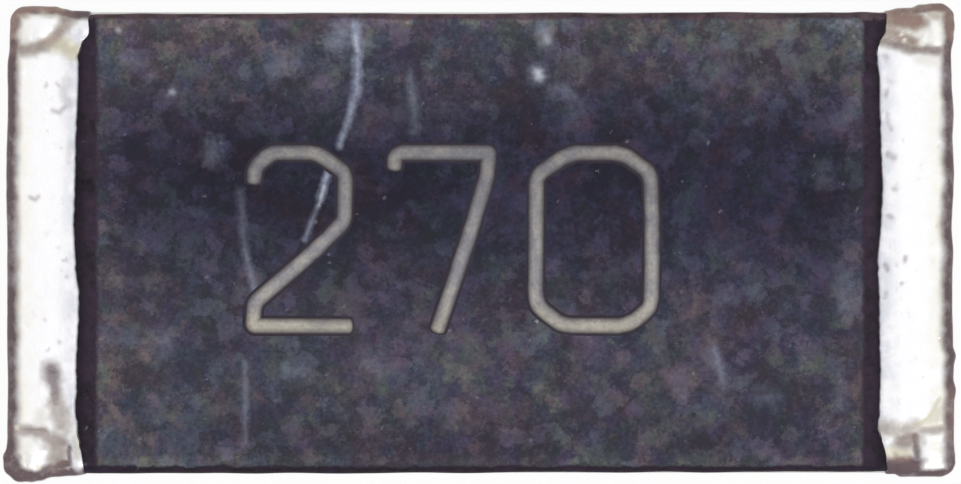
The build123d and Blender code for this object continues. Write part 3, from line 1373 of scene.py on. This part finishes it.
@dataclass(frozen=True)
class Studio:
    """Plain pale floor, soft lamps and a camera straight above the marked face."""

    view_width: float = 6.4575  # length of the chip's top plane that the picture's width takes in
    aside: float = 0.0034  # how far the camera stands off the chip's middle, both along and across
    lens: float = 300.0
    sensor: float = 36.0
    sky: float = 0.80
    lamps: tuple[Lamp, ...] = (
        Lamp("key_light", 0.60, 25.0, (38.0, 0.0, 35.0)),
        Lamp("top_light", 0.10, 40.0, (-9.0, 6.0, 0.0)),
        Lamp("fill_light", 0.12, 60.0, (48.0, 0.0, -120.0)),
    )
    floor_radius: float = 200.0
    floor_glow: float = 0.93  # how much of the floor is seen as plain white; the rest takes the shadow

    def build(self) -> None:
        """Sets up the camera, the lamps, the world and the floor."""
        scene = bpy.context.scene
        scene.view_settings.view_transform = "Standard"
        self._camera(scene)
        for lamp in self.lamps:
            lamp.build()
        self._world(scene)
        self._floor()

    def _camera(self, scene: bpy.types.Scene) -> None:
        """Camera that looks straight down on the middle of the chip.

        Args:
            scene: Scene that is seen through it.
        """
        low, high = CAD_BOUNDS
        data = bpy.data.cameras.new("camera")
        data.lens = self.lens
        data.sensor_width = self.sensor
        data.clip_start = 0.001
        data.clip_end = 2.0
        camera = link("camera", data)
        height = self.view_width * MM * self.lens / self.sensor
        x, y = ((low[axis] + high[axis]) / 2 + self.aside * MM for axis in (0, 1))
        camera.location = (x, y, high.z + height)
        scene.camera = camera

    @staticmethod
    def _seen(bench: Bench) -> NodeSocket:
        """Tells what is looked at from what lights other surfaces.

        Args:
            bench: Bench of the material or the world.

        Returns:
            1 for the camera, a reflection or a view through glass, 0 for light on surfaces.
        """
        path = bench.add("LightPath")
        seen = bench.maths("MAXIMUM", path.outputs["Is Camera Ray"], path.outputs["Is Glossy Ray"])
        return bench.maths("MAXIMUM", seen, path.outputs["Is Transmission Ray"])

    def _world(self, scene: bpy.types.Scene) -> None:
        """Even pale sky, white where it is looked at.

        Args:
            scene: Scene that gets the sky.
        """
        world = bpy.data.worlds.new("sky")
        world.use_nodes = True
        bench = Bench(world.node_tree)
        background = world.node_tree.nodes["Background"]
        background.inputs["Color"].default_value = (1.0, 1.0, 1.0, 1.0)
        bench.join(bench.step(self._seen(bench), 0.0, 1.0, self.sky, 1.0), background.inputs["Strength"])
        scene.world = world

    def _floor(self) -> None:
        """Pale floor under the solder pads, which keeps the chip's shadow."""
        mesh = bmesh.new()
        bmesh.ops.create_circle(mesh, cap_ends=True, segments=96, radius=self.floor_radius * MM)
        data = bpy.data.meshes.new("floor")
        mesh.to_mesh(data)
        mesh.free()
        floor = link("floor", data)
        material, bench, shader = Finish("pale_floor", 0.9, 0.0).open()
        cloud = bench.unevenness(bench.place(), 9.0, 3.0)
        bench.join(bench.mix(cloud, (0.90, 0.90, 0.90), (0.93, 0.93, 0.93)), shader.inputs["Base Color"])
        glow = bench.add("Emission", {"Color": (1.0, 1.0, 1.0, 1.0), "Strength": 1.0})
        share = bench.product(self._seen(bench), self.floor_glow)
        mixed = bench.add("MixShader", {0: share, 1: shader.outputs[0], 2: glow.outputs[0]})
        bench.join(mixed.outputs[0], material.node_tree.nodes["Material Output"].inputs["Surface"])
        data.materials.append(material)
        floor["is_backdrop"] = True


@dataclass(frozen=True)
class InnerLayers:
    """CAD nodes that keep their own shape: the chip and every layer hidden inside it."""

    silver_palladium: PlainLayer = PlainLayer(
        "silver_palladium_print", 0.45, metallic=1.0, colour=(0.62, 0.61, 0.58), tint=(0.55, 0.54, 0.51)
    )
    silver: PlainLayer = PlainLayer(
        "silver_print", 0.42, metallic=1.0, colour=(0.72, 0.71, 0.68), tint=(0.64, 0.63, 0.60)
    )
    end_film: PlainLayer = PlainLayer(
        "end_film", 0.40, metallic=1.0, colour=(0.55, 0.54, 0.52), tint=(0.48, 0.47, 0.46), grain=0.01
    )
    nickel: PlainLayer = PlainLayer(
        "nickel", 0.30, metallic=1.0, colour=(0.50, 0.48, 0.44), tint=(0.44, 0.42, 0.38), grain=0.008
    )
    resistive: PlainLayer = PlainLayer(
        "resistive_print", 0.35, colour=(0.020, 0.020, 0.022), tint=(0.034, 0.032, 0.031)
    )
    glass: PlainLayer = PlainLayer(
        "glass_print", 0.18, colour=(0.050, 0.085, 0.062), tint=(0.070, 0.105, 0.075), depth=0.001
    )
    alumina: Alumina = Alumina("alumina", 0.55)

    def dress(self) -> None:
        """Gives each of these nodes its finish."""
        chip = Box.of("ceramic_substrate")
        finishes = {
            "ceramic_substrate": self.alumina.build(chip),
            "resistive_film": self.resistive.build(),
            "glass_undercoat": self.glass.build(),
        }
        for layer, finish in (
            ("top_electrode", self.silver_palladium),
            ("bottom_electrode", self.silver),
            ("end_electrode", self.end_film),
            ("nickel_barrier", self.nickel),
        ):
            material = finish.build()
            for end in End:
                finishes[f"{layer}_{end.word}"] = material
        for node, material in finishes.items():
            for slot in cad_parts[node].material_slots:
                slot.material = material
            log.info("%s: dressed as %s", node, material.name)


LEFT_EDGE = (
    (-1.54, 2.650), (-1.46, 2.662), (-1.36, 2.684), (-1.25, 2.702), (-1.10, 2.716), (-0.98, 2.708),
    (-0.85, 2.710), (-0.50, 2.695), (-0.34, 2.694), (-0.20, 2.713), (0.10, 2.726), (0.40, 2.718),
    (0.65, 2.714), (0.90, 2.704), (1.10, 2.697), (1.25, 2.700), (1.33, 2.668), (1.41, 2.616), (1.54, 2.620),
)
RIGHT_EDGE = (
    (-1.54, 2.728), (-1.41, 2.718), (-1.33, 2.690), (-1.25, 2.670), (-1.15, 2.680), (-0.90, 2.688),
    (-0.60, 2.680), (-0.40, 2.682), (-0.12, 2.671), (0.10, 2.690), (0.38, 2.702), (0.70, 2.691),
    (0.90, 2.684), (1.10, 2.684), (1.22, 2.670), (1.30, 2.661), (1.35, 2.674), (1.42, 2.718), (1.54, 2.722),
)

# The left cap is measured as if it were the right one
LEFT_MARKS = (  # path, radius, rise, tarnish with painted shade (below 0, a painted highlight) and cream with painted highlight
    # Upper corner
    # Marks below 0 clear raised lumps as painted highlights; marks above 0 lay tarnish with painted shade in
    # creases
    Mark(((2.945, 1.445),), 0.13, 0.01, -0.95),
    Mark(((3.09, 1.4),), 0.06, 0.0, -0.5, 0.3),
    Mark(((2.674, 1.435),), 0.05, 0.006, -0.95),
    Mark(((3.12, 1.295), (3.0, 1.3), (2.92, 1.33), (2.865, 1.375)), 0.075, -0.009, 0.72, 0.5),
    Mark(((2.865, 1.375), (2.8, 1.45), (2.775, 1.51)), 0.082, -0.008, 0.72, 0.5),
    Mark(((2.88, 1.345), (2.81, 1.34), (2.735, 1.28)), 0.1, -0.003, 0.34, 0.9),
    Mark(((3.165, 1.42), (3.13, 1.55), (3.0, 1.59), (2.82, 1.58)), 0.085, 0.0, 0.9, 1.0),
    Mark(((2.748, 1.34),), 0.036, 0.004, -0.8, 0.9),
    Mark(((2.65, 1.525), (2.74, 1.525), (2.8, 1.54)), 0.045, 0.0, 0.95),
    # Lower corner
    Mark(((3.115, -1.475), (3.02, -1.53)), 0.15, 0.03, upright=True),
    Mark(((3.15, -1.54),), 0.14, 0.022, upright=True),
    Mark(((3.004, -1.401),), 0.115, 0.022, -0.97),
    Mark(((3.13, -1.262), (3.02, -1.264), (2.93, -1.282), (2.885, -1.33)), 0.072, -0.008, 0.64, 0.35),
    Mark(((3.13, -1.255), (3.02, -1.255), (2.92, -1.262)), 0.026, -0.003, 0.74),
    Mark(((2.85, -1.33), (2.835, -1.4), (2.85, -1.46)), 0.125, -0.002, 0.64, 0.4),
    Mark(((2.809, -1.347),), 0.075, -0.004, 0.74),
    Mark(((2.762, -1.374), (2.759, -1.51)), 0.03, -0.012, 0.95),
    Mark(((2.708, -1.347), (2.698, -1.515)), 0.045, 0.007, -0.7),
    Mark(((2.71, -1.3), (2.7, -1.42)), 0.06, 0.0, 0.3, 0.4),
    Mark(((3.14, -1.44), (3.1, -1.54), (2.99, -1.575), (2.9, -1.52), (2.782, -1.49)), 0.06, 0.0, 1.0),
    Mark(((2.977, -1.51),), 0.034, 0.0, -0.7, 0.9),
    Mark(((3.112, -1.247),), 0.024, 0.0, -0.7, 1.0),
    Mark(((2.822, -1.287),), 0.08, 0.0, 0.2, 0.35),
    # Stain along the inner side, and small pits
    Mark(((2.885, -0.86), (2.87, -0.91)), 0.108, -0.003, 0.84),
    Mark(((2.85, -0.85), (2.846, -1.02)), 0.064, -0.002, 0.62),
    Mark(((2.862, -0.95), (2.85, -1.08)), 0.062, -0.002, 0.8),
    Mark(((2.85, -1.08), (2.81, -1.22)), 0.105, -0.002, 0.62, 0.3),
    Mark(((2.95, -1.15), (2.98, -1.22)), 0.07, -0.001, 0.16, 0.3),
    Mark(((2.765, 0.93), (2.8, 1.0), (2.785, 1.09)), 0.055, -0.001, 0.22),
    Mark(((2.875, 0.885), (2.83, 0.875), (2.79, 0.91)), 0.028, -0.002, 0.4),
    Mark(((2.845, 1.07), (2.825, 1.045)), 0.022, -0.001, 0.3),
    Mark(((3.025, 0.305), (2.99, 0.285), (2.965, 0.31)), 0.024, -0.001, 0.42),
    Mark(((2.755, 0.66), (2.765, 0.55)), 0.045, -0.001, 0.2),
    Mark(((2.925, -0.52),), 0.022, -0.001, 0.26),
    Mark(((2.828, -0.67),), 0.026, -0.001, 0.38),
    Mark(((2.8, -0.12),), 0.026, -0.001, 0.38),
)
LEFT_SWELL = (
    (-1.54, 0.000), (-1.42, 0.010), (-1.26, 0.009), (-1.00, 0.005), (-0.60, 0.010), (-0.05, 0.010),
    (0.37, 0.015), (0.95, 0.004), (1.18, 0.006), (1.33, -0.007), (1.50, -0.012),
)
LEFT_LOWER = ((2.63, 1.559), (2.74, 1.572), (2.85, 1.578), (2.96, 1.592), (3.02, 1.594), (3.12, 1.588))
LEFT_UPPER = ((2.63, 1.558), (2.74, 1.560), (2.80, 1.572), (2.86, 1.587), (3.00, 1.590), (3.12, 1.586))
LEFT_CAP = TinCap(End.LEFT, LEFT_MARKS, LEFT_EDGE, LEFT_SWELL, LEFT_LOWER, LEFT_UPPER)

RIGHT_MARKS = (  # path, radius, rise, tarnish with painted shade (below 0, a painted highlight) and cream with painted highlight
    # Upper corner
    # Marks below 0 clear raised lumps as painted highlights; marks above 0 lay tarnish with painted shade in
    # creases
    Mark(((3.1, 1.5),), 0.15, 0.018, upright=True),
    Mark(((3.062, 1.45), (3.062, 1.37)), 0.075, 0.01, -0.97),
    Mark(((3.02, 1.535), (3.08, 1.52)), 0.05, 0.0, 0.45, 0.6),
    Mark(((2.76, 1.515), (2.85, 1.5), (2.935, 1.485)), 0.12, -0.003, 1.0, 1.0),
    Mark(((2.72, 1.56), (2.9, 1.57), (3.04, 1.6), (3.15, 1.53), (3.18, 1.4)), 0.095, 0.0, 0.0, 0.7),
    Mark(((2.695, 1.361), (2.782, 1.341), (2.89, 1.3), (3.12, 1.29)), 0.056, -0.008, 0.8, 0.4),
    Mark(((2.728, 1.415), (2.822, 1.388), (2.9, 1.345)), 0.085, -0.002, 0.78, 0.7),
    Mark(((2.832, 1.401),), 0.024, 0.003, -0.85, 0.8),
    Mark(((2.853, 1.361),), 0.024, 0.003, -0.85, 0.8),
    Mark(((2.97, 1.337),), 0.032, 0.003, -0.7, 0.8),
    Mark(((2.728, 1.253),), 0.04, -0.003, 0.35),
    Mark(((2.95, 1.235), (3.07, 1.21)), 0.06, -0.001, 0.15, 0.3),
    # Lower corner
    Mark(((3.1, -1.46),), 0.14, 0.014, upright=True),
    Mark(((3.024, -1.388),), 0.115, 0.012, -0.97),
    Mark(((2.98, -1.262), (3.118, -1.253)), 0.05, -0.006, 0.6, 0.4),
    Mark(((2.72, -1.25), (2.8, -1.272), (2.93, -1.255)), 0.1, -0.003, 0.5, 0.4),
    Mark(((2.843, -1.345), (2.9, -1.32)), 0.12, -0.004, 0.74, 0.4),
    Mark(((2.843, -1.307),), 0.03, -0.004, 0.75),
    Mark(((2.765, -1.415), (2.86, -1.42)), 0.08, 0.004, -0.35, 0.9),
    Mark(((2.765, -1.515), (2.91, -1.51)), 0.13, 0.0, 1.2),
    Mark(((2.922, -1.3), (2.945, -1.5)), 0.05, -0.006, 0.9),
    Mark(((3.089, -1.146),), 0.035, 0.002, 0.0, 0.8),
    Mark(((3.03, -1.215), (3.09, -1.14)), 0.095, -0.001, 0.22, 0.6),
    Mark(((2.93, -1.235), (3.02, -1.175), (3.09, -1.05)), 0.03, -0.001, 0.26, 0.9),
    Mark(((3.165, -1.0), (3.165, -1.3)), 0.07, 0.0, 0.0, 0.4),
    # Small pits down the inner side
    Mark(((2.735, 1.02), (2.73, 0.99)), 0.028, -0.002, 0.36),
    Mark(((2.735, 0.87), (2.745, 0.8), (2.765, 0.76)), 0.024, -0.002, 0.3),
    Mark(((2.745, 0.59), (2.78, 0.57)), 0.042, -0.002, 0.4),
    Mark(((2.785, 0.36),), 0.032, -0.002, 0.42),
    Mark(((2.745, 0.18), (2.765, 0.17)), 0.032, -0.002, 0.38),
    Mark(((2.722, -0.15), (2.74, -0.18)), 0.03, -0.002, 0.42),
    Mark(((2.857, -0.1), (2.853, -0.125)), 0.024, -0.002, 0.42),
    Mark(((2.833, -0.275),), 0.026, -0.002, 0.48),
    Mark(((2.728, -0.34), (2.722, -0.37)), 0.028, -0.002, 0.32),
)
RIGHT_SWELL = (
    (-1.50, 0.026), (-1.30, 0.018), (-1.09, 0.019), (-1.00, 0.030), (-0.92, 0.015), (-0.84, 0.017),
    (-0.77, 0.030), (-0.70, 0.012), (-0.40, 0.007), (-0.20, 0.008), (-0.06, 0.014), (0.10, 0.003),
    (0.45, 0.017), (0.70, 0.006), (0.85, 0.015), (1.10, 0.000), (1.25, -0.004), (1.38, 0.016),
    (1.50, 0.012),
)
RIGHT_LOWER = ((2.66, 1.559), (2.795, 1.559), (2.827, 1.577), (3.12, 1.579))
RIGHT_UPPER = ((2.66, 1.558), (2.74, 1.560), (2.82, 1.577), (2.90, 1.580), (2.96, 1.602), (3.12, 1.603))
RIGHT_CAP = TinCap(End.RIGHT, RIGHT_MARKS, RIGHT_EDGE, RIGHT_SWELL, RIGHT_LOWER, RIGHT_UPPER)

FACE_SCUFFS = (
    # The long curved scratch
    Scuff((-0.850, 1.450), (-0.822, 1.33), 0.066, 1.0),
    Scuff((-0.822, 1.33), (-0.827, 1.02), 0.054, 0.95),
    Scuff((-0.827, 1.02), (-0.895, 0.79), 0.048, 0.75),
    Scuff((-0.895, 0.79), (-0.945, 0.65), 0.040, 0.66),
    Scuff((-1.021, 0.47), (-1.075, 0.286), 0.044, 0.95),
    Scuff((-1.075, 0.286), (-1.176, 0.02), 0.034, 0.50),
    # Shorter rubs
    Scuff((-0.88, 1.43), (-0.95, 1.36), 0.150, 0.40, 1.6),
    Scuff((-1.613, 0.353), (-1.579, -0.05), 0.050, 0.22, 1.4),
    Scuff((-1.579, -0.05), (-1.519, -0.306), 0.048, 0.36, 1.2),
    Scuff((-1.579, -0.82), (-1.575, -1.34), 0.040, 0.26, 1.4),
    Scuff((-0.470, 1.126), (-0.430, 0.756), 0.060, 0.24, 1.4),
    Scuff((1.579, -0.722), (1.640, -0.958), 0.058, 0.36, 1.3),
    Scuff((0.385, 1.145), (0.392, 1.125), 0.100, 0.70, 0.8),
    Scuff((0.425, 1.430), (0.445, 1.370), 0.085, 0.45, 0.9),
    Scuff((-2.070, 1.011), (-2.068, 1.010), 0.060, 0.35, 0.8),
    # Pale patches where the face was rubbed flat
    Scuff((0.52, 1.03), (0.58, 1.01), 0.120, 0.26, 1.8),
    Scuff((-1.80, 0.64), (-1.80, 0.58), 0.120, 0.22, 1.8),
    Scuff((-1.40, 1.18), (-1.22, 1.22), 0.120, 0.20, 1.8),
    Scuff((-2.36, 1.23), (-2.30, 1.23), 0.110, 0.20, 1.8),
    Scuff((-2.12, -0.64), (-2.12, -0.72), 0.130, 0.20, 1.8),
    Scuff((2.43, -0.30), (2.43, -0.40), 0.110, 0.18, 1.8),
    Scuff((2.41, -0.88), (2.42, -1.10), 0.090, 0.18, 1.8),
    Scuff((1.88, -1.04), (1.94, -1.04), 0.120, 0.18, 1.8),
    Scuff((1.62, -0.36), (1.68, -0.36), 0.110, 0.16, 1.8),
    Scuff((-0.74, -0.82), (-0.64, -0.83), 0.120, 0.18, 1.8),
    Scuff((-1.28, -0.88), (-1.20, -0.88), 0.130, 0.18, 1.8),
    Scuff((2.31, 0.50), (2.31, 0.42), 0.120, 0.15, 1.8),
)

FACE_NICKS = (
    Scuff((0.392, 1.143), (0.396, 1.120), 0.052, 0.80, 0.6),
    Scuff((0.445, 1.375), (0.450, 1.350), 0.040, 0.35, 0.8),
    Scuff((-2.433, 1.428), (-2.430, 1.425), 0.035, 0.60, 0.5),
    Scuff((-2.070, 1.011), (-2.068, 1.010), 0.035, 0.45, 0.5),
    Scuff((-0.836, 1.385), (-0.826, 1.290), 0.030, 0.45, 0.9),
    Scuff((-1.050, 0.370), (-1.082, 0.250), 0.020, 0.40, 0.8),
)

NUMERALS = (
    Digit("two", -1.189, (
        (-0.334, 0.363, 0.0), (-0.322, 0.487, 0.05), (-0.212, 0.583, 0.05), (0.098, 0.583, 0.06),
        (0.284, 0.450, 0.06), (0.278, 0.125, 0.05), (0.095, -0.060, 0.12), (-0.325, -0.425, 0.04),
        (-0.338, -0.580, 0.02), (0.342, -0.580, 0.0),
    )),
    Digit("seven", -0.259, (
        (-0.318, 0.455, 0.0), (-0.310, 0.555, 0.02), (-0.270, 0.583, 0.02), (0.318, 0.583, 0.012),
        (0.308, 0.420, 0.10), (0.172, -0.020, 0.2), (-0.036, -0.634, 0.0),
    )),
    Digit("zero", 0.769, (
        (-0.160, 0.583, 0.07), (0.186, 0.583, 0.07), (0.378, 0.446, 0.07), (0.390, -0.020, 0.2),
        (0.380, -0.456, 0.07), (0.226, -0.578, 0.07), (-0.218, -0.578, 0.07), (-0.386, -0.446, 0.07),
        (-0.396, -0.330, 0.10), (-0.389, 0.434, 0.07),
    ), closed=True),
)


def main() -> None:
    """Builds and dresses the whole chip, then sets up the studio."""
    logging.basicConfig(level=logging.INFO, format="%(message)s")
    InnerLayers().dress()
    coat_box, cap_box = Box.of("protective_overcoat"), Box.of("tin_plating_right")
    resin = OvercoatResin("overcoat_resin", 0.60, 0.14, scuffs=FACE_SCUFFS, nicks=FACE_NICKS).build(coat_box)
    coat = Overcoat({End.LEFT: LEFT_EDGE, End.RIGHT: RIGHT_EDGE}).build(resin)
    tin = Tin("tin", 0.40, metallic=1.0).build(cap_box)
    for cap in (LEFT_CAP, RIGHT_CAP):
        cap.build(tin, coat)
    marking = Marking(NUMERALS)
    marking.build(MarkingInk("marking_ink", 0.6, 0.3).build(coat_box.high.z, marking.rise))
    Studio().build()


if __name__ == "__main__":
    main()
